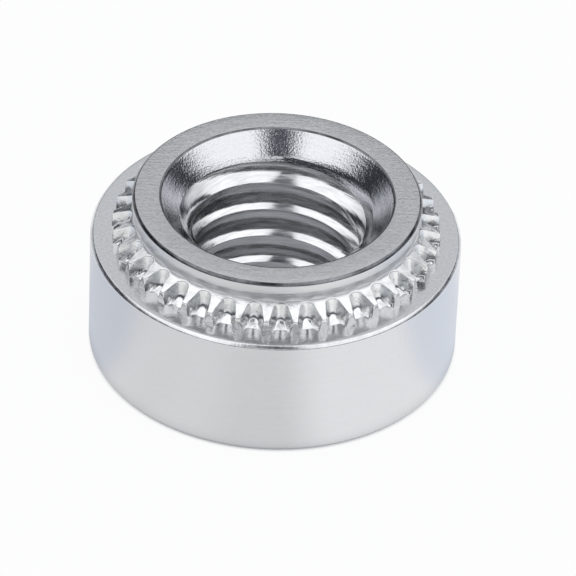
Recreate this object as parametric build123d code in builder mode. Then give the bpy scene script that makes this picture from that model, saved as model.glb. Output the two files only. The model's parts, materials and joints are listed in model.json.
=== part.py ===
from build123d import *
from build123d.topology import SkipClean
import math
import os

os.makedirs("parts", exist_ok=True)

# Self-clinching nut, metric M6 x 1, all sizes in millimetres.
# Origin at the centre of the seating base, +Z along the thread towards the shank.

# head (the plain cylinder that stays outside the sheet)
head_diameter = 11.05
head_height = 3.87
head_top_edge_radius = 0.06
head_base_edge_radius = 0.2

# shank (goes through the hole in the sheet)
shank_diameter = 8.6
shank_length = 1.37
shank_edge_radius = 0.05
neck_undercut = 0.07
neck_taper_height = 0.33

# serrated clinch ring at the foot of the shank
tooth_count = 36
ring_diameter = 9.76
tooth_tip_height = 0.42
ring_slope_height = 0.28
tooth_tip_width = 0.13
notch_end_width = 0.34
notch_depth = 0.54
notch_end_sagitta = 0.07
notch_draft_angle = 12.0
notch_floor_angle = 29.0
notch_floor_inset = 0.19
ring_start_angle = 2.95

# thread, right hand
thread_pitch = 1.0
thread_minor_diameter = 5.0
thread_depth = 0.5
thread_crest_flat = 0.29
thread_root_flat = 0.13
thread_start_angle = 262.0
thread_turns_below_base = 1.25
thread_spare_turns = 2

# countersinks at both ends of the thread
countersink_diameter = 6.93
countersink_depth = 0.62
countersink_angle = 90.0
countersink_lip_angle = 60.0
base_countersink_diameter = 6.3
countersink_edge_radius = 0.03

# margins of the shapes that are cut away, as shares
core_share = 0.8
blank_margin_turns = 3
overrun_share = 0.25

# values that follow from the sizes above
head_radius = head_diameter / 2
shank_radius = shank_diameter / 2
neck_radius = shank_radius - neck_undercut
ring_radius = ring_diameter / 2
bore_radius = thread_minor_diameter / 2
total_height = head_height + shank_length
tip_level = head_height + tooth_tip_height
neck_level = tip_level + ring_slope_height
core_radius = core_share * bore_radius

# the countersink: a wide cone, then a steeper one down to the thread
cone_radius = countersink_diameter / 2
cone_slope = math.tan(math.radians(countersink_angle / 2))
lip_slope = math.tan(math.radians(countersink_lip_angle / 2))
lip_radius = cone_radius - countersink_depth * cone_slope
lip_level = total_height - countersink_depth
lip_end_level = lip_level - (lip_radius - core_radius) / lip_slope
base_cone_radius = base_countersink_diameter / 2
base_cone_level = (base_cone_radius - core_radius) / cone_slope

# body of revolution: head, clinch ring, neck, shank and both countersinks
with BuildPart() as envelope:
    with BuildSketch(Plane.XZ) as section:
        with BuildLine() as outline:
            Polyline(
                (core_radius, base_cone_level),
                (base_cone_radius, 0),
                (head_radius, 0),
                (head_radius, head_height),
                (ring_radius, head_height),
                (ring_radius, tip_level),
                (neck_radius, neck_level),
                (shank_radius, neck_level + neck_taper_height),
                (shank_radius, total_height),
                (cone_radius, total_height),
                (lip_radius, lip_level),
                (core_radius, lip_end_level),
                close=True,
            )
        make_face()
        head_corners = section.vertices().sort_by(Axis.X)[-2:].sort_by(Axis.Y)
        fillet(head_corners[0], radius=head_base_edge_radius)
        head_top = section.vertices().sort_by(Axis.X)[-1]
        fillet(head_top, radius=head_top_edge_radius)
        shank_corners = section.vertices().group_by(Axis.Y)[-1].sort_by(Axis.X)
        fillet(shank_corners[-1], radius=shank_edge_radius)
        cone_corner = section.vertices().group_by(Axis.Y)[-1].sort_by(Axis.X)[0]
        fillet(cone_corner, radius=countersink_edge_radius)
    revolve(axis=Axis.Z)

# the thread groove, swept along a helix that runs past both ends of the nut
turns = math.ceil(total_height / thread_pitch) + thread_spare_turns
helix_start = -thread_turns_below_base * thread_pitch
blank_margin = blank_margin_turns * thread_pitch
groove_mouth = thread_pitch - thread_crest_flat
flank_run = (groove_mouth - thread_root_flat) / 2 / thread_depth
groove_overrun = overrun_share * thread_crest_flat / flank_run
groove_back = groove_mouth + 2 * groove_overrun * flank_run

with BuildPart() as groove:
    with BuildLine() as helix_path:
        Helix(
            pitch=thread_pitch,
            height=turns * thread_pitch,
            radius=bore_radius,
            center=(0, 0, helix_start),
        )
    groove_plane = Plane(
        origin=helix_path.line @ 0,
        x_dir=(1, 0, 0),
        z_dir=helix_path.line % 0,
    )
    with BuildSketch(groove_plane) as groove_section:
        with BuildLine() as groove_outline:
            Polyline(
                (thread_depth, -thread_root_flat / 2),
                (thread_depth, thread_root_flat / 2),
                (-groove_overrun, groove_back / 2),
                (-groove_overrun, -groove_back / 2),
                close=True,
            )
        make_face()
    sweep(is_frenet=True)

# one notch of the clinch ring, open to the outside, with drafted walls and a sloping floor
notch_end_radius = ring_radius - notch_depth
notch_corner_radius = notch_end_radius + notch_end_sagitta
half_step = math.pi / tooth_count
mouth_angle = half_step - math.asin(tooth_tip_width / 2 / ring_radius)
mouth_x = ring_radius * math.cos(mouth_angle)
mouth_y = ring_radius * math.sin(mouth_angle)
flank_slope = (mouth_y - notch_end_width / 2) / (mouth_x - notch_corner_radius)
outer_x = ring_radius + notch_depth
outer_y = mouth_y + (outer_x - mouth_x) * flank_slope
floor_end_radius = ring_radius - notch_floor_inset
floor_slope = math.tan(math.radians(notch_floor_angle))
floor_top_level = head_height + (floor_end_radius - core_radius) * floor_slope

with BuildPart() as notch:
    with BuildSketch(Plane.XY.offset(tip_level)) as notch_plan:
        with BuildLine() as notch_outline:
            ThreePointArc(
                (notch_corner_radius, notch_end_width / 2),
                (notch_end_radius, 0),
                (notch_corner_radius, -notch_end_width / 2),
            )
            Polyline(
                (notch_corner_radius, -notch_end_width / 2),
                (outer_x, -outer_y),
                (outer_x, outer_y),
                (notch_corner_radius, notch_end_width / 2),
            )
        make_face()
    extrude(notch_plan.sketch, amount=ring_slope_height, taper=-notch_draft_angle)
    extrude(notch_plan.sketch, amount=-tooth_tip_height, taper=notch_draft_angle)
    with BuildSketch(Plane.XZ) as floor_section:
        with BuildLine() as floor_outline:
            Polyline(
                (core_radius, head_height),
                (floor_end_radius, head_height),
                (core_radius, floor_top_level),
                close=True,
            )
        make_face()
    revolve(axis=Axis.Z, mode=Mode.SUBTRACT)

# a bored blank, longer than the nut, with the groove cut and then trimmed to the envelope
with BuildPart() as threaded:
    with BuildSketch(Plane.XZ) as wall:
        with BuildLine() as wall_outline:
            Polyline(
                (bore_radius, -blank_margin),
                (head_diameter, -blank_margin),
                (head_diameter, total_height + blank_margin),
                (bore_radius, total_height + blank_margin),
                close=True,
            )
        make_face()
    revolve(axis=Axis.Z)
    turned_groove = groove.part.rotate(Axis.Z, thread_start_angle)
    add(turned_groove, mode=Mode.SUBTRACT)
    add(envelope.part, mode=Mode.INTERSECT)

# the nut in four quarters, so that each turn of the thread's crest is four faces
quarters = []
for side in (Keep.TOP, Keep.BOTTOM):
    half = split(threaded.part, bisect_by=Plane.XZ, keep=side)
    for end in (Keep.TOP, Keep.BOTTOM):
        quarters.append(split(half, bisect_by=Plane.YZ, keep=end))

with SkipClean():
    with BuildPart() as clinch_nut:
        for quarter in quarters:
            add(quarter, clean=False)
        with PolarLocations(0, tooth_count, start_angle=ring_start_angle):
            add(notch.part, mode=Mode.SUBTRACT, clean=False)

clinch_nut.part.label = "clinch_nut"
export_step(clinch_nut.part, "parts/clinch_nut.step")
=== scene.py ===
import json
import math

import bmesh
import bpy
from bpy.props import FloatProperty, FloatVectorProperty, IntProperty, PointerProperty
from mathutils import Matrix, Vector


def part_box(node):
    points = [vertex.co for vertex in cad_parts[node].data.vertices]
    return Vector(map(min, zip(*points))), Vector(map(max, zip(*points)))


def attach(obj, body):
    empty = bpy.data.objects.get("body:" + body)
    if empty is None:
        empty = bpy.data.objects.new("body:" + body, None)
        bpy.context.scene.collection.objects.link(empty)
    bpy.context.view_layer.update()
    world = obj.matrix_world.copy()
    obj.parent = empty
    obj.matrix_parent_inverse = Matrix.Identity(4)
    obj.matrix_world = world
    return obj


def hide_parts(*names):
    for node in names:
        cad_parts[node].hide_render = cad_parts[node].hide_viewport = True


bl_info = {
    "name": "Self-clinching nut",
    "version": (1, 0, 0),
    "blender": (4, 5, 0),
    "location": "3D View > Sidebar > Clinch nut",
    "description": "Builds a plated self-clinching nut and the small studio that shows it",
    "category": "Object",
}

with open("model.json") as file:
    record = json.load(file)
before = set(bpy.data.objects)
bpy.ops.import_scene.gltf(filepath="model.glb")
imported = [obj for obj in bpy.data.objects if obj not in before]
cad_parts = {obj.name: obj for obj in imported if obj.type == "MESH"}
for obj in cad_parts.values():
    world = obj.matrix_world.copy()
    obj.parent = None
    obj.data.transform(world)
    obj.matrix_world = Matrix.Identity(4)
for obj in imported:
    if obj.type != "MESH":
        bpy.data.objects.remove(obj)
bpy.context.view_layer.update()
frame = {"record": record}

MM = 0.001
NODE = "clinch_nut"

# values for making the mesh
MERGE_DISTANCE = 0.0008 * MM
SLIVER = MERGE_DISTANCE / 4
NO_LENGTH = 1e-9
CRISP_ANGLE = math.radians(32)
ROUNDING_SHARE = 0.45       # of the shorter run beside a corner, the most that its rounding takes
FIT_ROUNDS = 6              # enough for a drafted wall's foot and top to settle
CHAMFER_SLOPE = 0.78        # width of the crest's worn edge for each unit of its depth
GROOVE_START = -1.25        # level of the lowest groove, in turns
SPARE_TURNS = 2
CONES = ("Countersink", "Lip", "Base countersink")
ZONES = ("turned_wall", "turned_neck", "faced_steel", "pressed_shoulder", "coined_ring",
         "rubbed_edge", "struck_edge", "burnished_cone", "tapped_thread")
NOISE_RANGE = (0.3, 0.7)    # a noise seldom leaves it, and is cut off where it does

# The studio, by direction. Height is 0 level with the nut and 1 straight above, reach is -1 on
# the camera's side and 1 behind the nut, and a pair is where a change starts and where it ends.
CEILING_CHANGE = (0.15, 0.6)        # reach
FOOT_CHANGE = (0.5, 0.75)           # reach
FOOT_HEIGHTS = (0.47, 0.36)         # of the ceiling's foot, at the start and end of its change
FOOT_TILT = -0.05                   # the foot is lower on the right
CEILING_FADE = 0.12                 # height
TABLE_TOP = (0.26, 0.12)            # height
STRIP_BACK = (0.02, -0.1)           # reach
STRIP_FRONT = (-0.8, -0.68)         # reach
STRIP_HALF = 0.07                   # half of the shaded strip's width straight above
STRIP_SPREAD = 0.45                 # how it widens with the square of the reach
STRIP_FADE = 0.25                   # share of its width

# The paper's glow, by direction from -1 at the left to 1 at the right
RIGHT_CHANGE = (0.06, 0.4)
RIGHT_GLOW = (0.9, 1.14)
LEFT_CHANGE = (-0.15, -0.5)
LEFT_GLOW = (0, 0.08)
# where the paper mirrored at both sides takes its bluish tint, a painted shade
SHADED_SIDES = (0.86, 0.98)
WHITE_SHARE = 0.94                  # the rest shows the paper's own shade

# The paper's shade by distance, in radii of the head
MIRRORED_SHADE = (0.985, 1.08)
MIRRORED_LEAST = 0.79
CONTACT_SHADE = (0.966, 1.01)

mounts = {mount["name"]: mount for mount in frame["record"]["mounts"]}
low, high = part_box(NODE)


def linear(code):
    """The linear colour of an sRGB hex value."""
    channels = [int(code[i:i + 2], 16) / 255 for i in (0, 2, 4)]
    return [c / 12.92 if c <= 0.04045 else ((c + 0.055) / 1.055) ** 2.4 for c in channels]


def length(name, description, default):
    """A length property, in metres, from a default in metres."""
    return FloatProperty(name=name, description=description, default=default, min=0, precision=6,
                         unit="LENGTH", subtype="DISTANCE")


def angle(name, description, degrees):
    """An angle property from a default in degrees."""
    return FloatProperty(name=name, description=description, default=math.radians(degrees),
                         unit="ROTATION", subtype="ANGLE")


def colour(name, description, code):
    """A colour property from an sRGB hex value."""
    return FloatVectorProperty(name=name, description=description, default=linear(code), size=3,
                               min=0, max=1, subtype="COLOR")


def strength(name, description, default):
    """A brightness property, where 1 is white."""
    return FloatProperty(name=name, description=description, default=default, min=0)


class ClinchNutSizes(bpy.types.PropertyGroup):
    """Sizes of the nut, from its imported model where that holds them."""
    head_diameter: length("Head diameter", "Across the plain cylindrical head", high.x - low.x)
    total_height: length("Height", "From the base to the end of the shank", high.z)
    head_height: length("Head height", "From the base to the shoulder",
                        mounts["shoulder"]["pos_m"][2])
    base_edge: length("Base edge", "Radius of the head's lower edge", 0.2 * MM)
    head_edge: length("Head edge", "Struck bevel of the head's upper edge", 0.09 * MM)

    shank_diameter: length("Shank diameter", "Across the shank above the neck",
                           2 * mounts["shank"]["dims"]["r_mm"] * MM)
    shank_edge: length("Shank edge", "Rubbed bevel of the shank's outer edge", 0.07 * MM)
    bevel_round: length("Bevel round", "Radius at both sides of the bevels", 0.04 * MM)
    neck_undercut: length("Neck undercut", "How much smaller the neck's radius is", 0.07 * MM)
    neck_taper: length("Neck taper", "Height of the taper from neck to shank", 0.33 * MM)
    neck_round: length("Neck round", "Radius between the neck and the ring's top", 0.11 * MM)

    tooth_count: IntProperty(name="Teeth", description="Teeth round the clinch ring", default=36,
                             min=3)
    ring_diameter: length("Ring diameter", "Across the tips of the teeth", 9.76 * MM)
    tip_height: length("Tip height", "Height of a tooth's outer edge", 0.42 * MM)
    ring_slope: length("Ring slope", "Rise of the ring's top from tip to neck", 0.28 * MM)
    tip_width: length("Tip width", "Width of a tooth's blunt tip", 0.13 * MM)
    notch_width: length("Notch width", "Width of a notch at its inner end", 0.34 * MM)
    notch_depth: length("Notch depth", "Depth of a notch from the tips", 0.54 * MM)
    notch_bow: length("Notch bow", "Rise of the arched inner end", 0.07 * MM)
    notch_draft: angle("Notch draft", "Lean of the notch's walls", 12)
    floor_angle: angle("Floor angle", "Slope of the notch's floor", 29)
    floor_inset: length("Floor inset", "From the tips to the end of the sloping floor", 0.19 * MM)
    ring_start: angle("Ring start", "Where the middle of the first notch stands", 2.95)
    edge_round: length("Edge round", "Radius of the coined edges", 0.045 * MM)
    notch_round: length("Notch round", "Radius between a notch's end wall and its floor", 0.36 * MM)
    wander: length("Wander", "How far the coined metal strays from its true form", 0.05 * MM)
    wander_grain: length("Wander grain", "Size of one bump of the stray", 0.7 * MM)
    wander_blend: length("Wander blend", "Height in which the stray fades out", 0.15 * MM)

    pitch: length("Thread pitch", "Rise of one turn", 1.0 * MM)
    minor_radius: length("Minor radius", "Radius of the thread's crests",
                         mounts["thread"]["dims"]["r_mm"] * MM)
    thread_depth: length("Thread depth", "From crest to root", 0.5 * MM)
    crest_flat: length("Crest flat", "Width of the thread's crest", 0.29 * MM)
    crest_chamfer: length("Crest chamfer", "Worn edge of the crest on the shank's side", 0.17 * MM)
    root_flat: length("Root flat", "Width of the groove's floor", 0.13 * MM)
    chamfer_round: length("Chamfer round", "Radius between the worn edge and the flank", 0.6 * MM)
    thread_round: length("Thread round", "Radius of the thread's corners", 0.025 * MM)
    groove_angle: angle("Groove angle", "Where the groove's middle stands a quarter pitch "
                        "below the base", 262.0)

    cone_diameter: length("Countersink", "Across the countersink at the shank's end", 6.93 * MM)
    cone_depth: length("Countersink depth", "Depth of the wide cone", 0.62 * MM)
    cone_angle: angle("Countersink angle", "Included angle of the wide cone", 90)
    lip_angle: angle("Lip angle", "Included angle of the steeper cone below it", 60)
    base_cone_diameter: length("Base countersink", "Across the countersink at the base", 6.3 * MM)
    cone_edge: length("Countersink edge", "Radius of the countersinks' edges", 0.07 * MM)

    columns: IntProperty(name="Columns", description="Columns of the bore to each tooth",
                         default=12, min=2)


class ClinchNutFinish(bpy.types.PropertyGroup):
    """Colours of the zinc plating where the tools left the steel different. The dark colour of the
    edges at the shank's end is partly plating worn thin and partly painted shade.
    """
    turned: colour("Turned walls", "Wall of the head, fine turned", "dbdcde")
    neck: colour("Shank", "Wall and neck of the shank, rough turned", "e8e9ea")
    faced: colour("Faced ends", "Shank end and base, matt", "dbdcdd")
    pressed: colour("Shoulder", "Shoulder, pressed smooth", "dcddde")
    coined: colour("Coined ring", "Teeth, pressed bright", "f2f3f3")
    # the dark colour of the edges at the shank's end is partly plating worn thin and partly painted
    # shade, a dark line where the edge lies in shadow
    rubbed: colour("Rubbed edges", "Edges of the shank's end, plating rubbed thin", "989a9e")
    struck: colour("Struck edge", "Head's upper edge, struck bright", "f4f5f6")
    burnished: colour("Countersink", "Countersink, burnished bright", "dcdde0")
    tapped: colour("Thread", "Thread, cut and plated", "f0f1f2")


class ClinchNutStage(bpy.types.PropertyGroup):
    """The camera of the photograph and the light round it."""
    target_height: length("Target height", "Height of the point that the camera is aimed by",
                          2.7 * MM)
    distance: length("Distance", "From the target to the camera", 156.186 * MM)
    elevation: angle("Elevation", "Camera above the horizon", 37.194)
    aim_yaw: angle("Aim sideways", "Turn of the camera from the target", 0.15525)
    aim_pitch: angle("Aim upwards", "Tilt of the camera from the target", 0.25081)
    roll: angle("Roll", "Camera's roll", -2.33971)
    lens: FloatProperty(name="Lens", description="Focal length on a 36 mm sensor",
                        default=326.73, min=1, unit="CAMERA")
    floor: colour("Floor", "Pale floor", "f2f4f8")
    floor_width: length("Floor width", "Width of the floor", 0.8)
    sky: colour("Sky", "Tint of the studio's light", "fbfcfe")
    dusk: colour("Dusk", "Tint of the studio's shade", "d6deef")
    # bluish painted shade on the paper beside the nut, seen only in the metal's reflections
    side_shade_tint: colour("Far paper", "Tint of the paper that the nut's sides mirror", "e8edf6")
    ceiling: strength("Ceiling", "Soft light from above, on the camera's side", 1.33)
    back_ceiling: strength("Back ceiling", "Soft light from above, behind the nut", 0.84)
    wall: strength("Wall", "Low light from the studio's walls", 0.06)
    table: strength("Table", "Light that comes in level, from the far table", 0.75)
    shade: strength("Shade", "Light from the shaded strip over the camera", 0.13)


def add_node(tree, kind, links=None, **settings):
    """A new node with its settings. Each link is a value, a socket or a node's first output."""
    node = tree.nodes.new(kind)
    for name, value in settings.items():
        setattr(node, name, value)
    for name, source in (links or {}).items():
        if isinstance(source, bpy.types.Node):
            source = source.outputs[0]
        if isinstance(source, bpy.types.NodeSocket):
            tree.links.new(source, node.inputs[name])
        else:
            node.inputs[name].default_value = source
    return node


def new_geometry_tree(name, **sockets):
    """A geometry tree with its input and output nodes, and the inputs named for each kind."""
    tree = bpy.data.node_groups.new(name, "GeometryNodeTree")
    tree.interface.new_socket("Geometry", in_out="INPUT", socket_type="NodeSocketGeometry")
    tree.interface.new_socket("Geometry", in_out="OUTPUT", socket_type="NodeSocketGeometry")
    for kind, names in sockets.items():
        for socket in names:
            tree.interface.new_socket(socket, in_out="INPUT", socket_type="NodeSocket" + kind)
    return tree, tree.nodes.new("NodeGroupInput"), tree.nodes.new("NodeGroupOutput")


def apply_tree(piece, tree, values):
    """Runs a geometry tree on a piece and keeps the result as its plain mesh."""
    modifier = piece.modifiers.new(tree.name, "NODES")
    modifier.node_group = tree
    for item in tree.interface.items_tree:
        if item.in_out == "INPUT" and item.name in values:
            modifier[item.identifier] = values[item.name]
    seen = piece.evaluated_get(bpy.context.evaluated_depsgraph_get())
    made = bpy.data.meshes.new_from_object(seen)
    piece.modifiers.remove(modifier)
    piece.data = made


def corner_arc(start, corner, end, steps):
    """Points of the circle that touches both legs of a corner at start and end."""
    legs = (start - corner, end - corner)
    flat = min(leg.length for leg in legs) < NO_LENGTH
    weight = 1.0 if flat else math.sin(legs[0].angle(legs[1]) / 2)
    points = []
    for step in range(steps + 1):
        t = step / steps
        parts = ((1 - t) ** 2, 2 * weight * t * (1 - t), t ** 2)
        points.append((start * parts[0] + corner * parts[1] + end * parts[2]) / sum(parts))
    return points


def rounded_chain(corners, radii, arc_steps, run_steps):
    """Points along a line through corners, its inner corners rounded and its runs divided."""
    corners = [Vector(corner) for corner in corners]
    points = [corners[0]]
    for k in range(1, len(corners)):
        entry = corners[k]
        arc = [entry]
        if k < len(corners) - 1:
            legs = (corners[k - 1] - corners[k], corners[k + 1] - corners[k])
            room = ROUNDING_SHARE * min(leg.length for leg in legs)
            if room > NO_LENGTH:
                cut = min(radii[k - 1] / math.tan(legs[0].angle(legs[1]) / 2), room)
                entry = corners[k] + legs[0].normalized() * cut
                arc = corner_arc(entry, corners[k], corners[k] + legs[1].normalized() * cut,
                                 arc_steps[k - 1])
            else:
                arc = [entry] * (arc_steps[k - 1] + 1)
        last = points[-1]
        for step in range(1, run_steps[k - 1]):
            points.append(last.lerp(entry, step / run_steps[k - 1]))
        points.extend(arc)
    return points


def notch_plan(sizes):
    """Half a notch in plan, at the height of the tips, from its middle to the middle of a tooth.

    Each place comes with the way in which the notch's wall moves as it goes down.
    """
    ring = sizes.ring_diameter / 2
    inner = ring - sizes.notch_depth
    half_width = sizes.notch_width / 2
    half_step = math.pi / sizes.tooth_count
    mouth = half_step - math.asin(sizes.tip_width / 2 / ring)
    arch_radius = (half_width ** 2 + sizes.notch_bow ** 2) / (2 * sizes.notch_bow)
    arch_reach = math.asin(half_width / arch_radius)
    arch_steps = 4
    places = []
    ways = []
    for step in range(arch_steps):
        turn = arch_reach * step / arch_steps
        rise = arch_radius * (1 - math.cos(turn))
        places.append(Vector((inner + rise, arch_radius * math.sin(turn))))
        ways.append(Vector((math.cos(turn), -math.sin(turn))))

    corner = Vector((inner + sizes.notch_bow, half_width))
    tip = Vector((ring * math.cos(mouth), ring * math.sin(mouth)))
    along = (tip - corner).normalized()
    inwards = Vector((along.y, -along.x))
    round_ring = Vector((math.sin(mouth), -math.cos(mouth)))
    round_ring /= inwards.dot(round_ring)
    middle = (ring * math.cos(half_step), ring * math.sin(half_step))
    flank_steps, tip_steps, end_steps = 3, 3, 2
    places += rounded_chain([corner, tip, middle], [sizes.edge_round], [tip_steps],
                            [flank_steps, end_steps])
    bend = (Vector((math.cos(arch_reach), -math.sin(arch_reach))) + inwards).normalized()
    ways += [bend] + [inwards] * (flank_steps - 1)
    ways += [inwards.lerp(round_ring, step / tip_steps) for step in range(tip_steps + 1)]
    ways += [round_ring * (1 - step / end_steps) for step in range(1, end_steps + 1)]
    return list(zip(places, ways))


def cone_slope(included_angle):
    """Run of a cone's wall outwards for each unit of height."""
    return math.tan(included_angle / 2)


def wall_point(sizes, place, way, level_at):
    """Where the drafted wall of a notch meets the surface whose height at a radius is level_at."""
    tip_level = sizes.head_height + sizes.tip_height
    spot = place
    for _ in range(FIT_ROUNDS):
        level = level_at(spot.length)
        spot = place + way * (tip_level - level) * math.tan(sizes.notch_draft)
    return Vector((spot.x, spot.y, level))


def outer_profile(sizes, place, way):
    """Section of the nut's outside through one place of the notch's plan, and each row's zone."""
    head = sizes.head_diameter / 2
    ring = sizes.ring_diameter / 2
    shank = sizes.shank_diameter / 2
    neck = shank - sizes.neck_undercut
    shoulder = sizes.head_height
    tip_level = shoulder + sizes.tip_height
    neck_level = tip_level + sizes.ring_slope
    taper_end = neck_level + sizes.neck_taper
    end = sizes.total_height
    floor_end = ring - sizes.floor_inset
    floor_slope = math.tan(sizes.floor_angle)
    cone = sizes.cone_diameter / 2
    base_cone = sizes.base_cone_diameter / 2
    edge = sizes.cone_edge
    outwards = place.normalized()

    def at(radius, level):
        return Vector((outwards.x * radius, outwards.y * radius, level))

    def floor_level(radius):
        return shoulder + max(floor_end - radius, 0) * floor_slope

    def top_level(radius):
        return tip_level + (ring - radius) / (ring - neck) * sizes.ring_slope

    foot = wall_point(sizes, place, way, floor_level)
    top = wall_point(sizes, place, way, top_level)
    floor_edge = Vector((foot.x, foot.y, 0))
    floor_edge *= max(floor_end / floor_edge.length, 1)
    floor_edge.z = shoulder
    cone_wall = at(cone - edge * cone_slope(sizes.cone_angle), end - edge)
    # each corner, the steps and zone of the run up to it, the radius, steps and zone of its rounding
    rows = [
        (at(base_cone - edge, edge), 0, None, None, 0, None),
        (at(base_cone, 0), 1, "faced_steel", edge, 2, "faced_steel"),
        (at(head, 0), 2, "faced_steel", sizes.base_edge, 5, "turned_wall"),
        (at(head, shoulder - sizes.head_edge), 5, "turned_wall", sizes.bevel_round, 2, "struck_edge"),
        (at(head - sizes.head_edge, shoulder), 1, "struck_edge", sizes.bevel_round, 2, "struck_edge"),
        (floor_edge, 5, "pressed_shoulder", sizes.edge_round, 2, "pressed_shoulder"),
        (foot, 2, "coined_ring", sizes.notch_round, 4, "coined_ring"),
        (top, 3, "coined_ring", sizes.edge_round, 3, "coined_ring"),
        (at(neck, neck_level), 3, "coined_ring", sizes.neck_round, 4, "turned_neck"),
        (at(shank, taper_end), 2, "turned_neck", 2 * sizes.edge_round, 2, "turned_neck"),
        # the shank's outer edge, its end's bevel and the countersink's edge get the dark edge finish:
        # worn plating with painted shade
        (at(shank, end - sizes.shank_edge), 1, "turned_neck", sizes.bevel_round, 2, "rubbed_edge"),
        (at(shank - sizes.shank_edge, end), 1, "rubbed_edge", sizes.bevel_round, 2, "rubbed_edge"),
        (at(cone, end), 3, "faced_steel", 2 * edge, 3, "rubbed_edge"),
        (cone_wall, 1, "burnished_cone", None, 0, None),
    ]
    corners, run_steps, run_zones, radii, arc_steps, arc_zones = zip(*rows)
    points = rounded_chain(corners, radii[1:-1], arc_steps[1:-1], run_steps[1:])
    zones = []
    for k in range(len(rows)):
        zones += [run_zones[k]] * run_steps[k] + [arc_zones[k]] * arc_steps[k]
    return points, zones


def sector_mesh(sizes):
    """One notch of the nut's outside, from the base's countersink round to the shank's."""
    half = notch_plan(sizes)
    mirrored = [(Vector((place.x, -place.y)), Vector((way.x, -way.y)))
                for place, way in reversed(half[1:])]
    sections = [outer_profile(sizes, place, way) for place, way in mirrored + half]
    zones = sections[0][1]
    step = 2 * math.pi / sizes.tooth_count
    even = [step * (k / sizes.columns - 0.5) for k in range(sizes.columns + 1)]

    rows = []
    vertices = []
    for row in range(len(zones) + 1):
        line = [section[0][row] for section in sections]
        if row in (0, len(zones)):
            radius, level = line[0].xy.length, line[0].z
            line = [(radius * math.cos(turn), radius * math.sin(turn), level) for turn in even]
        rows.append(range(len(vertices), len(vertices) + len(line)))
        vertices += [tuple(point) for point in line]

    faces = []
    face_zones = []
    for row, zone in enumerate(zones):
        lower, upper = rows[row], rows[row + 1]
        if len(lower) == len(upper):
            made = [(lower[k], lower[k + 1], upper[k + 1], upper[k]) for k in range(len(lower) - 1)]
        else:
            made = stitch_rows(lower, upper)
        faces += made
        face_zones += [ZONES.index(zone)] * len(made)
    mesh = bpy.data.meshes.new("sector")
    mesh.from_pydata(vertices, [], faces)
    attribute = mesh.attributes.new("zone", "INT", "FACE")
    attribute.data.foreach_set("value", face_zones)
    return mesh


def stitch_rows(lower, upper):
    """Triangles between two rows of which one has more points."""
    faces = []
    a, b = 0, 0
    while a < len(lower) - 1 or b < len(upper) - 1:
        if a < len(lower) - 1 and (a + 1) / (len(lower) - 1) <= (b + 1) / (len(upper) - 1):
            faces.append((lower[a], lower[a + 1], upper[b]))
            a += 1
        else:
            faces.append((lower[a], upper[b + 1], upper[b]))
            b += 1
    return faces


def thread_profile_mesh(sizes):
    """The thread's section as a line of points in the XZ plane, long enough for every column."""
    crest, depth, chamfer = sizes.minor_radius, sizes.thread_depth, sizes.crest_chamfer
    root_half = sizes.root_flat / 2
    mouth_half = (sizes.pitch - sizes.crest_flat) / 2
    half = sizes.pitch / 2
    worn_flank = chamfer * (mouth_half - root_half) / depth
    worn = chamfer * CHAMFER_SLOPE - worn_flank
    one_pitch = [(crest, -half), (crest, -mouth_half - worn),
                 (crest + chamfer, worn_flank - mouth_half), (crest + depth, -root_half),
                 (crest + depth, root_half), (crest, mouth_half), (crest, half)]
    radii = [sizes.thread_round, sizes.chamfer_round] + [sizes.thread_round] * 3
    arc_steps = [2, 4, 2, 2, 2]
    run_steps = [1, 1, 2, 1, 2, 1]
    section = rounded_chain(one_pitch, radii, arc_steps, run_steps)[:-1]
    first_column = sizes.ring_start - math.pi / sizes.tooth_count
    lift = (first_column - sizes.groove_angle) / (2 * math.pi)
    turns = math.ceil(sizes.total_height / sizes.pitch) + SPARE_TURNS
    points = []
    for turn in range(turns + 1):
        middle = (GROOVE_START + lift + turn) * sizes.pitch
        points += [(p.x, 0, p.y + middle) for p in section]
    mesh = bpy.data.meshes.new("thread_profile")
    mesh.from_pydata(points, [(k, k + 1) for k in range(len(points) - 1)], [])
    return mesh


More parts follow.
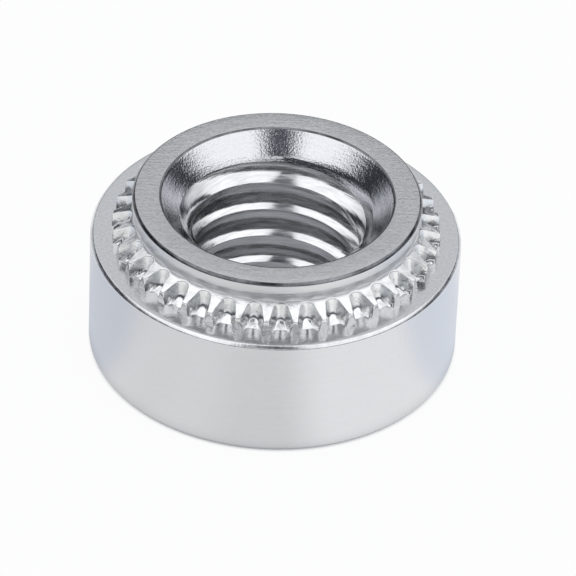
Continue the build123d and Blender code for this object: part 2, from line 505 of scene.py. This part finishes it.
def build_ring_tree():
    """Repeats one sector round the nut, closes the seams and lets the coined metal stray a little."""
    tree, given, result = new_geometry_tree("repeat_sector", Int=["Count"], Float=[
        "Start", "Merge", "Wander", "Grain", "Foot", "Top", "Blend"])
    points = add_node(tree, "GeometryNodePoints", {"Count": given.outputs["Count"]})
    index = add_node(tree, "GeometryNodeInputIndex")
    share = add_node(tree, "ShaderNodeMath", {0: index, 1: given.outputs["Count"]}, operation="DIVIDE")
    turn = add_node(tree, "ShaderNodeMath",
                    {0: share, 1: 2 * math.pi, 2: given.outputs["Start"]}, operation="MULTIPLY_ADD")
    rotation = add_node(tree, "ShaderNodeCombineXYZ", {"Z": turn})
    copies = add_node(tree, "GeometryNodeInstanceOnPoints", {
        "Points": points, "Instance": given.outputs["Geometry"], "Rotation": rotation})
    realized = add_node(tree, "GeometryNodeRealizeInstances", {"Geometry": copies})
    merged = add_node(tree, "GeometryNodeMergeByDistance", {
        "Geometry": realized, "Distance": given.outputs["Merge"]})

    place = add_node(tree, "GeometryNodeInputPosition")
    level = add_node(tree, "ShaderNodeSeparateXYZ", {"Vector": place}).outputs["Z"]
    coined = 1.0
    for end, inwards in (("Foot", "ADD"), ("Top", "SUBTRACT")):
        full = add_node(tree, "ShaderNodeMath", {0: given.outputs[end], 1: given.outputs["Blend"]},
                        operation=inwards)
        inside = add_node(tree, "ShaderNodeMapRange", {
            "Value": level, "From Min": given.outputs[end], "From Max": full},
            interpolation_type="SMOOTHSTEP")
        coined = add_node(tree, "ShaderNodeMath", {0: coined, 1: inside}, operation="MULTIPLY")
    fineness = add_node(tree, "ShaderNodeMath", {0: 1.0, 1: given.outputs["Grain"]}, operation="DIVIDE")
    noise = add_node(tree, "ShaderNodeTexNoise", {"Vector": place, "Scale": fineness, "Detail": 3.0})
    centred = add_node(tree, "ShaderNodeVectorMath", {0: noise.outputs["Color"], 1: (0.5, 0.5, 0.5)},
                       operation="SUBTRACT")
    reach = add_node(tree, "ShaderNodeMath", {0: coined, 1: given.outputs["Wander"]},
                     operation="MULTIPLY")
    stray = add_node(tree, "ShaderNodeVectorMath", {0: centred, "Scale": reach}, operation="SCALE")
    moved = add_node(tree, "GeometryNodeSetPosition", {"Geometry": merged, "Offset": stray})
    tree.links.new(moved.outputs[0], result.inputs["Geometry"])
    return tree


def build_thread_tree():
    """Winds the thread's section along its helix and opens it into the countersinks.

    A point of the section next to the place where a cone cuts the thread moves onto that place,
    so that the crests end in a clean edge.
    """
    cone_values = [cone + value for cone in CONES for value in (" slope", " radius")]
    tree, given, result = new_geometry_tree("wind_thread", Int=["Columns"], Float=[
        "Pitch", "Start", "Lowest", "Highest", *cone_values])

    size = add_node(tree, "GeometryNodeAttributeDomainSize", {"Geometry": given.outputs["Geometry"]})
    rows = size.outputs["Point Count"]
    columns = given.outputs["Columns"]
    across = add_node(tree, "FunctionNodeIntegerMath", {0: columns, 1: 1}, operation="ADD")
    grid = add_node(tree, "GeometryNodeMeshGrid", {"Vertices X": across, "Vertices Y": rows})
    index = add_node(tree, "GeometryNodeInputIndex")
    column = add_node(tree, "FunctionNodeIntegerMath", {0: index, 1: rows}, operation="DIVIDE_FLOOR")
    row = add_node(tree, "FunctionNodeIntegerMath", {0: index, 1: rows}, operation="MODULO")
    turn = add_node(tree, "ShaderNodeMath", {0: column, 1: columns}, operation="DIVIDE")

    place = add_node(tree, "GeometryNodeInputPosition")
    drawn = add_node(tree, "GeometryNodeSampleIndex", {
        "Geometry": given.outputs["Geometry"], "Value": place, "Index": row},
        data_type="FLOAT_VECTOR")
    section = add_node(tree, "ShaderNodeSeparateXYZ", {"Vector": drawn})
    radius = section.outputs["X"]
    level = add_node(tree, "ShaderNodeMath", {
        0: turn, 1: given.outputs["Pitch"], 2: section.outputs["Z"]}, operation="MULTIPLY_ADD")
    level = level.outputs[0]

    def cone_radius(at_level):
        widest = 0.0
        for cone in CONES:
            wall = add_node(tree, "ShaderNodeMath", {
                0: at_level, 1: given.outputs[cone + " slope"], 2: given.outputs[cone + " radius"]},
                operation="MULTIPLY_ADD")
            widest = add_node(tree, "ShaderNodeMath", {0: wall, 1: widest}, operation="MAXIMUM")
        return widest

    stands_out = add_node(tree, "ShaderNodeMath", {0: radius, 1: cone_radius(level)},
                          operation="SUBTRACT").outputs[0]
    moved = [level, radius]
    for step in (1, -1):
        beside = add_node(tree, "FunctionNodeIntegerMath", {0: index, 1: step}, operation="ADD")
        there = [add_node(tree, "GeometryNodeFieldAtIndex", {"Value": value, "Index": beside})
                 for value in (level, radius, stands_out)]
        gap = add_node(tree, "ShaderNodeMath", {0: stands_out, 1: there[2]}, operation="SUBTRACT")
        share = add_node(tree, "ShaderNodeMath", {0: stands_out, 1: gap}, operation="DIVIDE")
        # the cut has to lie between the two points, and on this one's side of their middle
        for limit, test in ((0.0, "GREATER_THAN"), (0.5, "LESS_THAN")):
            holds = add_node(tree, "ShaderNodeMath", {0: share, 1: limit}, operation=test)
            share = add_node(tree, "ShaderNodeMath", {0: share, 1: holds}, operation="MULTIPLY")
        for k, here in enumerate((level, radius)):
            change = add_node(tree, "ShaderNodeMath", {0: there[k], 1: here}, operation="SUBTRACT")
            moved[k] = add_node(tree, "ShaderNodeMath", {0: change, 1: share, 2: moved[k]},
                                operation="MULTIPLY_ADD").outputs[0]

    raised = add_node(tree, "ShaderNodeMath", {0: moved[0], 1: given.outputs["Lowest"]},
                      operation="MAXIMUM")
    kept = add_node(tree, "ShaderNodeMath", {0: raised, 1: given.outputs["Highest"]},
                    operation="MINIMUM")
    bore = add_node(tree, "ShaderNodeMath", {0: moved[1], 1: cone_radius(kept)},
                    operation="MAXIMUM")
    heading = add_node(tree, "ShaderNodeMath", {0: turn, 1: 2 * math.pi, 2: given.outputs["Start"]},
                       operation="MULTIPLY_ADD")
    wound = add_node(tree, "ShaderNodeCombineXYZ", {"Z": kept})
    for axis, ratio in (("X", "COSINE"), ("Y", "SINE")):
        share = add_node(tree, "ShaderNodeMath", {0: heading}, operation=ratio)
        reach = add_node(tree, "ShaderNodeMath", {0: share, 1: bore}, operation="MULTIPLY")
        tree.links.new(reach.outputs[0], wound.inputs[axis])

    by_point = add_node(tree, "GeometryNodeFieldOnDomain", {"Value": stands_out})
    threaded = add_node(tree, "FunctionNodeCompare", {0: by_point, 1: 0.0}, operation="GREATER_THAN")
    zone = add_node(tree, "GeometryNodeSwitch", {
        "Switch": threaded, "False": ZONES.index("burnished_cone"),
        "True": ZONES.index("tapped_thread")}, input_type="INT")
    marked = add_node(tree, "GeometryNodeStoreNamedAttribute", {
        "Geometry": grid, "Name": "zone", "Value": zone}, data_type="INT", domain="FACE")
    placed = add_node(tree, "GeometryNodeSetPosition", {"Geometry": marked, "Position": wound})
    tree.links.new(placed.outputs[0], result.inputs["Geometry"])
    return tree


def build_joining_tree():
    """Joins the outside and the bore into one closed surface and gives each zone its finish."""
    tree, given, result = new_geometry_tree("join_surfaces", Object=["Bore"], Float=["Merge"],
                                            Material=ZONES)
    bore = add_node(tree, "GeometryNodeObjectInfo", {"Object": given.outputs["Bore"]})
    joined = tree.nodes.new("GeometryNodeJoinGeometry")
    tree.links.new(given.outputs["Geometry"], joined.inputs[0])
    tree.links.new(bore.outputs["Geometry"], joined.inputs[0])
    whole = add_node(tree, "GeometryNodeRealizeInstances", {"Geometry": joined})
    whole = add_node(tree, "GeometryNodeMergeByDistance", {
        "Geometry": whole, "Distance": given.outputs["Merge"]})
    whole = add_node(tree, "GeometryNodeSetShadeSmooth", {"Geometry": whole, "Shade Smooth": True})
    mark = add_node(tree, "GeometryNodeInputNamedAttribute", {"Name": "zone"}, data_type="INT")
    for number, zone in enumerate(ZONES):
        chosen = add_node(tree, "FunctionNodeCompare", {2: mark, 3: number},
                          data_type="INT", operation="EQUAL")
        whole = add_node(tree, "GeometryNodeSetMaterial", {
            "Geometry": whole, "Selection": chosen, "Material": given.outputs[zone]})
    tree.links.new(whole.outputs[0], result.inputs["Geometry"])
    return tree


def new_plating(name):
    """A metal with one shader, and the nut's own coordinates for its pattern."""
    material = bpy.data.materials.new(name)
    material.use_nodes = True
    tree = material.node_tree
    tree.nodes.clear()
    shader = tree.nodes.new("ShaderNodeBsdfPrincipled")
    shader.inputs["Metallic"].default_value = 1.0
    add_node(tree, "ShaderNodeOutputMaterial", {"Surface": shader})
    coordinates = tree.nodes.new("ShaderNodeTexCoord").outputs["Object"]
    return material, tree, shader, coordinates


def drawn_grain(tree, coordinates, grain_mm, detail):
    """A noise whose grain has the given sizes along X, Y and Z."""
    squeezed = add_node(tree, "ShaderNodeMapping", {
        "Vector": coordinates, "Scale": [1 / (size * MM) for size in grain_mm]})
    return add_node(tree, "ShaderNodeTexNoise", {"Vector": squeezed, "Scale": 1.0, "Detail": detail})


def spread_pattern(tree, shader, pattern, tint, darkest, roughness, relief_mm):
    """A pattern sets a plating's roughness, relief and colour, down to a darkest share of its tint."""
    pattern = add_node(tree, "ShaderNodeMapRange", {
        "Value": pattern, "From Min": NOISE_RANGE[0], "From Max": NOISE_RANGE[1]})
    shade = add_node(tree, "ShaderNodeMix", {
        "Factor": pattern, "A": (*[c * darkest for c in tint], 1), "B": (*tint, 1)}, data_type="RGBA")
    rough = add_node(tree, "ShaderNodeMapRange", {
        "Value": pattern, "To Min": roughness[0], "To Max": roughness[1]})
    relief = add_node(tree, "ShaderNodeBump", {"Height": pattern, "Distance": relief_mm * MM})
    tree.links.new(shade.outputs["Result"], shader.inputs["Base Color"])
    tree.links.new(rough.outputs[0], shader.inputs["Roughness"])
    tree.links.new(relief.outputs[0], shader.inputs["Normal"])


def turned_plating(place, tint, feed_mm, darkest, roughness, relief_mm):
    """Bright zinc on turned steel: a soft satin wall with faint mottling and turning lines.

    The lines are drawn 0.05 mm apart on the wall and 0.09 mm on the shank, about twice the real
    feed, so that they show at all.
    """
    material, tree, shader, coordinates = new_plating("zinc_plated_turned_" + place)
    lines = drawn_grain(tree, coordinates, (1.6, 1.6, feed_mm), 2.0)
    mottle = add_node(tree, "ShaderNodeTexNoise", {
        "Vector": coordinates, "Scale": 1 / (0.22 * MM), "Detail": 4.0, "Roughness": 0.6})
    pattern = add_node(tree, "ShaderNodeMix", {"Factor": 0.5, "A": lines, "B": mottle})
    spread_pattern(tree, shader, pattern, tint, darkest, roughness, relief_mm)
    return material


def faced_plating(tint):
    """Bright zinc on faced steel: matt grey flats with a fine lapped grain that runs one way.

    The real grain is too fine to show, so it is drawn 0.07 to 0.08 mm wide.
    """
    material, tree, shader, coordinates = new_plating("zinc_plated_faced_steel")
    lines = drawn_grain(tree, coordinates, (0.8, 0.07, 0.3), 3.0)
    grain = add_node(tree, "ShaderNodeTexNoise", {
        "Vector": coordinates, "Scale": 1 / (0.08 * MM), "Detail": 2.0, "Roughness": 0.6})
    pattern = add_node(tree, "ShaderNodeMix", {"Factor": 0.65, "A": lines, "B": grain})
    spread_pattern(tree, shader, pattern, tint, darkest=0.72, roughness=(0.26, 0.42), relief_mm=0.009)
    return material


def pressed_plating(tint):
    """Bright zinc on the shoulder that the ring's tool pressed smooth: a near mirror, finely clouded.

    The zinc's own grain can't be seen at this size, so its clouds are drawn 0.09 mm wide.
    """
    material, tree, shader, coordinates = new_plating("zinc_plated_pressed_steel")
    grain = add_node(tree, "ShaderNodeTexNoise", {
        "Vector": coordinates, "Scale": 1 / (0.09 * MM), "Detail": 3.0, "Roughness": 0.6})
    spread_pattern(tree, shader, grain, tint, darkest=0.82, roughness=(0.1, 0.22), relief_mm=0.0013)
    return material


def coined_plating(tint):
    """Bright zinc on coined steel: the press leaves it shiny, with dents about 0.26 mm wide."""
    material, tree, shader, coordinates = new_plating("zinc_plated_coined_steel")
    dents = add_node(tree, "ShaderNodeTexNoise", {
        "Vector": coordinates, "Scale": 1 / (0.26 * MM), "Detail": 3.0, "Distortion": 0.4})
    spread_pattern(tree, shader, dents, tint, darkest=0.8, roughness=(0.13, 0.28), relief_mm=0.005)
    return material


def rubbed_plating(wear, tint, darkest):
    """Zinc struck or worn thin along an edge: grey steel and bright metal by turns, 0.9 mm of each. On
    the shank's end its dark tint is also painted shade, a dark line where the edge lies in shadow.
    """
    material, tree, shader, coordinates = new_plating("zinc_plated_" + wear + "_edge")
    stretches = add_node(tree, "ShaderNodeTexNoise", {
        "Vector": coordinates, "Scale": 1 / (0.9 * MM), "Detail": 4.0, "Roughness": 0.75})
    spread_pattern(tree, shader, stretches, tint, darkest, roughness=(0.12, 0.3), relief_mm=0.004)
    return material


def burnished_plating(tint):
    """Bright zinc on a countersink that the tool burnished: near mirror, speckled by the plating.

    Speckles and tool rings are drawn 0.06 and 0.05 mm wide, coarser than real, so that they show.
    """
    material, tree, shader, coordinates = new_plating("zinc_plated_burnished_steel")
    speckle = add_node(tree, "ShaderNodeTexNoise", {
        "Vector": coordinates, "Scale": 1 / (0.06 * MM), "Detail": 2.0, "Roughness": 0.65})
    rings = drawn_grain(tree, coordinates, (0.9, 0.9, 0.05), 2.0)
    pattern = add_node(tree, "ShaderNodeMix", {"Factor": 0.3, "A": speckle, "B": rings})
    spread_pattern(tree, shader, pattern, tint, darkest=0.86, roughness=(0.03, 0.1), relief_mm=0.004)
    return material


def tapped_plating(tint):
    """Bright zinc on a cut thread: glossy flanks drawn out by the tap, with duller streaks.

    The streaks are drawn 0.06 mm wide, coarser than a tap leaves them, so that they show.
    """
    material, tree, shader, coordinates = new_plating("zinc_plated_tapped_steel")
    streaks = drawn_grain(tree, coordinates, (0.7, 0.7, 0.06), 3.0)
    spread_pattern(tree, shader, streaks, tint, darkest=0.72, roughness=(0.08, 0.24), relief_mm=0.002)
    return material


class OBJECT_OT_plated_nut(bpy.types.Operator):
    """Builds the nut's plated surface over its solid"""
    bl_idname = "object.plated_nut"
    bl_label = "Plated nut"

    def execute(self, context):
        sizes = context.scene.clinch_nut_sizes
        finish = context.scene.clinch_nut_finish
        first_column = sizes.ring_start - math.pi / sizes.tooth_count
        columns = sizes.columns * sizes.tooth_count

        nut = bpy.data.objects.new("plated_nut", sector_mesh(sizes))
        bore = bpy.data.objects.new("bore", thread_profile_mesh(sizes))
        for piece in (nut, bore):
            context.scene.collection.objects.link(piece)

        cone_run = cone_slope(sizes.cone_angle)
        slopes = (cone_run, cone_slope(sizes.lip_angle), -cone_run)
        # the radius of each cone, carried on to the level of the base
        cone = sizes.cone_diameter / 2
        lip = cone - sizes.cone_depth * slopes[0]
        lip_level = sizes.total_height - sizes.cone_depth
        radii = (cone - sizes.total_height * slopes[0], lip - lip_level * slopes[1],
                 sizes.base_cone_diameter / 2)
        values = {"Columns": columns, "Pitch": sizes.pitch, "Start": first_column,
                  "Lowest": sizes.cone_edge, "Highest": sizes.total_height - sizes.cone_edge}
        for name, slope, radius in zip(CONES, slopes, radii):
            values[name + " slope"] = slope
            values[name + " radius"] = radius
        apply_tree(bore, build_thread_tree(), values)
        neck_top = sizes.head_height + sizes.tip_height + sizes.ring_slope + sizes.neck_taper
        apply_tree(nut, build_ring_tree(), {
            "Count": sizes.tooth_count, "Start": sizes.ring_start, "Merge": MERGE_DISTANCE,
            "Wander": sizes.wander, "Grain": sizes.wander_grain, "Foot": sizes.head_height,
            "Top": neck_top, "Blend": sizes.wander_blend})

        wall = turned_plating("wall", finish.turned, feed_mm=0.05, darkest=0.94,
                              roughness=(0.26, 0.36), relief_mm=0.001)
        neck = turned_plating("neck", finish.neck, feed_mm=0.09, darkest=0.86,
                              roughness=(0.34, 0.52), relief_mm=0.006)
        values = {"Bore": bore, "Merge": MERGE_DISTANCE, "turned_wall": wall, "turned_neck": neck,
                  "faced_steel": faced_plating(finish.faced),
                  "pressed_shoulder": pressed_plating(finish.pressed),
                  "coined_ring": coined_plating(finish.coined),
                  # the dark tint of the shank's and countersink's edges is worn plating and painted
                  # shade
                  "rubbed_edge": rubbed_plating("rubbed", finish.rubbed, darkest=0.2),
                  "struck_edge": rubbed_plating("struck", finish.struck, darkest=0.66),
                  "burnished_cone": burnished_plating(finish.burnished),
                  "tapped_thread": tapped_plating(finish.tapped)}
        apply_tree(nut, build_joining_tree(), values)
        bpy.data.objects.remove(bore)
        close_surface(nut)

        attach(nut, "root")
        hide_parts(NODE)
        return {"FINISHED"}


def close_surface(piece):
    """Turns the faces outwards, marks the crisp edges and stops if the surface is open."""
    surface = bmesh.new()
    surface.from_mesh(piece.data)
    bmesh.ops.dissolve_degenerate(surface, dist=SLIVER, edges=surface.edges)
    bmesh.ops.recalc_face_normals(surface, faces=surface.faces)
    gaps = sum(1 for edge in surface.edges if not edge.is_manifold)
    surface.to_mesh(piece.data)
    surface.free()
    if gaps:
        raise RuntimeError(f"The nut's surface has {gaps} open edges")
    piece.data.set_sharp_from_angle(angle=CRISP_ANGLE)


class SCENE_OT_clinch_nut_stage(bpy.types.Operator):
    """Sets the floor, the light and the photograph's camera"""
    bl_idname = "scene.clinch_nut_stage"
    bl_label = "Stage"

    def execute(self, context):
        scene = context.scene
        stage = scene.clinch_nut_stage
        scene.view_settings.view_transform = "Standard"

        half = stage.floor_width / 2
        floor = bpy.data.objects.new("floor", bpy.data.meshes.new("floor"))
        floor.data.from_pydata([(-half, -half, 0), (half, -half, 0), (half, half, 0), (-half, half, 0)],
                               [], [(0, 1, 2, 3)])
        scene.collection.objects.link(floor)
        floor.data.materials.append(floor_paper(stage, scene.clinch_nut_sizes.head_diameter / 2))
        light_world(scene, stage)

        camera = bpy.data.objects.new("camera", bpy.data.cameras.new("camera"))
        scene.collection.objects.link(camera)
        camera.data.sensor_width = 36
        camera.data.lens = stage.lens
        camera.data.clip_start = 0.01
        camera.data.clip_end = 5
        back = Vector((0, -math.cos(stage.elevation), math.sin(stage.elevation)))
        place = Vector((0, 0, stage.target_height)) + back * stage.distance
        facing = Matrix.Rotation(math.pi / 2 - stage.elevation, 3, "X")
        aim = (Matrix.Rotation(-stage.aim_yaw, 3, "Y") @ Matrix.Rotation(-stage.aim_pitch, 3, "X")
               @ Matrix.Rotation(-stage.roll, 3, "Z"))
        camera.matrix_world = Matrix.Translation(place) @ (facing @ aim).to_4x4()
        scene.camera = camera
        return {"FINISHED"}


def light_world(scene, stage):
    """A studio with dark walls, a bright soft ceiling and level light from a far table.

    A shaded strip runs along the ceiling towards the camera, which itself sees the studio white.
    """
    world = bpy.data.worlds.new("studio")
    scene.world = world
    world.use_nodes = True
    tree = world.node_tree
    tree.nodes.clear()
    way = add_node(tree, "ShaderNodeSeparateXYZ", {
        "Vector": add_node(tree, "ShaderNodeTexCoord").outputs["Generated"]})
    height, reach = way.outputs["Z"], way.outputs["Y"]
    sideways = add_node(tree, "ShaderNodeMath", {0: way.outputs["X"]}, operation="ABSOLUTE")

    ceiling = add_node(tree, "ShaderNodeMapRange", {
        "Value": reach, "From Min": CEILING_CHANGE[0], "From Max": CEILING_CHANGE[1],
        "To Min": stage.ceiling, "To Max": stage.back_ceiling}, interpolation_type="SMOOTHSTEP")
    squared = add_node(tree, "ShaderNodeMath", {0: reach, 1: reach}, operation="MULTIPLY")
    strip_half = add_node(tree, "ShaderNodeMath", {0: squared, 1: STRIP_SPREAD, 2: STRIP_HALF},
                          operation="MULTIPLY_ADD")
    strip_start, strip_end = [
        add_node(tree, "ShaderNodeMath", {0: strip_half, 1: share}, operation="MULTIPLY")
        for share in (1 - STRIP_FADE, 1 + STRIP_FADE)]
    shaded = 1.0
    for value, start, end in ((reach, *STRIP_BACK), (sideways, strip_end, strip_start),
                              (reach, *STRIP_FRONT)):
        inside = add_node(tree, "ShaderNodeMapRange", {
            "Value": value, "From Min": start, "From Max": end}, interpolation_type="SMOOTHSTEP")
        shaded = add_node(tree, "ShaderNodeMath", {0: shaded, 1: inside}, operation="MULTIPLY")
    above = add_node(tree, "ShaderNodeMix", {"Factor": shaded, "A": ceiling, "B": stage.shade})

    foot = add_node(tree, "ShaderNodeMapRange", {
        "Value": reach, "From Min": FOOT_CHANGE[0], "From Max": FOOT_CHANGE[1],
        "To Min": FOOT_HEIGHTS[0], "To Max": FOOT_HEIGHTS[1]})
    foot = add_node(tree, "ShaderNodeMath", {0: way.outputs["X"], 1: FOOT_TILT, 2: foot},
                    operation="MULTIPLY_ADD")
    full = add_node(tree, "ShaderNodeMath", {0: foot, 1: CEILING_FADE}, operation="ADD")
    is_high, is_level = [
        add_node(tree, "ShaderNodeMapRange", {"Value": height, "From Min": start, "From Max": end},
                 interpolation_type="SMOOTHSTEP") for start, end in ((foot, full), TABLE_TOP)]
    room = add_node(tree, "ShaderNodeMix", {"Factor": is_high, "A": stage.wall, "B": above})
    room = add_node(tree, "ShaderNodeMix", {"Factor": is_level, "A": room, "B": stage.table})

    tinted = add_node(tree, "ShaderNodeMix", {
        "Factor": room, "A": (*stage.dusk, 1), "B": (*stage.sky, 1)}, data_type="RGBA")
    soft = add_node(tree, "ShaderNodeBackground", {"Color": tinted.outputs["Result"], "Strength": room})
    white = add_node(tree, "ShaderNodeBackground", {"Color": (1, 1, 1, 1)})
    path = add_node(tree, "ShaderNodeLightPath")
    mixed = add_node(tree, "ShaderNodeMixShader", {0: path.outputs["Is Camera Ray"], 1: soft, 2: white})
    add_node(tree, "ShaderNodeOutputWorld", {"Surface": mixed})


def floor_paper(stage, head_radius):
    """Pale paper that glows white, with the nut's soft shadow and a dark line of contact round it.

    The metal mirrors it brighter from the right, shaded next to the nut and with a bluish painted shade
    at both sides.
    """
    material = bpy.data.materials.new("floor_paper")
    material.use_nodes = True
    tree = material.node_tree
    tree.nodes.clear()
    paper = add_node(tree, "ShaderNodeBsdfDiffuse", {"Color": (*stage.floor, 1)})
    path = add_node(tree, "ShaderNodeLightPath")
    mirrored = path.outputs["Is Glossy Ray"]
    spot = add_node(tree, "ShaderNodeTexCoord").outputs["Object"]
    reach = add_node(tree, "ShaderNodeVectorMath", {0: spot}, operation="LENGTH").outputs["Value"]
    ray = add_node(tree, "ShaderNodeVectorMath", {0: spot}, operation="NORMALIZE")
    across = add_node(tree, "ShaderNodeSeparateXYZ", {"Vector": ray}).outputs["X"]
    aside = add_node(tree, "ShaderNodeMath", {0: across}, operation="ABSOLUTE")

    changes = (
        (across, RIGHT_CHANGE, RIGHT_GLOW),
        (across, LEFT_CHANGE, LEFT_GLOW),
        (reach, [radii * head_radius for radii in MIRRORED_SHADE], (MIRRORED_LEAST, 1)),
        # the bluish painted shade at both sides
        (aside, SHADED_SIDES, (0, 1)),
        (reach, [radii * head_radius for radii in CONTACT_SHADE], (0, 1)),
    )
    right, left, near, sides, open_floor = [
        add_node(tree, "ShaderNodeMapRange", {
            "Value": value, "From Min": start, "From Max": end, "To Min": before, "To Max": after},
            interpolation_type="SMOOTHSTEP")
        for value, (start, end), (before, after) in changes]
    glow = add_node(tree, "ShaderNodeMath", {0: right, 1: left}, operation="ADD")
    glow = add_node(tree, "ShaderNodeMath", {0: glow, 1: near}, operation="MULTIPLY")
    glow = add_node(tree, "ShaderNodeMix", {"Factor": mirrored, "A": 1.0, "B": glow})
    sides = add_node(tree, "ShaderNodeMath", {0: mirrored, 1: sides}, operation="MULTIPLY")
    # bluish painted shade on the paper at both sides, for glossy rays only
    tinted = add_node(tree, "ShaderNodeMix", {
        "Factor": sides, "A": (1, 1, 1, 1), "B": (*stage.side_shade_tint, 1)}, data_type="RGBA")
    white = add_node(tree, "ShaderNodeEmission", {"Color": tinted.outputs["Result"], "Strength": glow})

    seen = add_node(tree, "ShaderNodeMath", {0: path.outputs["Is Camera Ray"], 1: mirrored},
                    operation="MAXIMUM")
    share = add_node(tree, "ShaderNodeMath", {0: seen, 1: WHITE_SHARE}, operation="MULTIPLY")
    share = add_node(tree, "ShaderNodeMath", {0: share, 1: open_floor}, operation="MULTIPLY")
    mixed = add_node(tree, "ShaderNodeMixShader", {0: share, 1: paper, 2: white})
    add_node(tree, "ShaderNodeOutputMaterial", {"Surface": mixed})
    return material


class VIEW3D_PT_clinch_nut(bpy.types.Panel):
    """Lists the steps that build the nut and its stage"""
    bl_label = "Clinch nut"
    bl_space_type = "VIEW_3D"
    bl_region_type = "UI"
    bl_category = "Clinch nut"

    def draw(self, context):
        for step in STEPS:
            self.layout.operator(step.bl_idname)
        for group in GROUPS:
            box = self.layout.box()
            settings = getattr(context.scene, group)
            for name in settings.__annotations__:
                box.prop(settings, name)


GROUPS = {"clinch_nut_sizes": ClinchNutSizes, "clinch_nut_finish": ClinchNutFinish,
          "clinch_nut_stage": ClinchNutStage}
STEPS = (OBJECT_OT_plated_nut, SCENE_OT_clinch_nut_stage)
CLASSES = (*GROUPS.values(), *STEPS, VIEW3D_PT_clinch_nut)


def register():
    for item in CLASSES:
        bpy.utils.register_class(item)
    for name, group in GROUPS.items():
        setattr(bpy.types.Scene, name, PointerProperty(type=group))


def unregister():
    for name in GROUPS:
        delattr(bpy.types.Scene, name)
    for item in reversed(CLASSES):
        bpy.utils.unregister_class(item)


def main():
    register()
    bpy.ops.object.plated_nut()
    bpy.ops.scene.clinch_nut_stage()


if __name__ == "__main__":
    main()
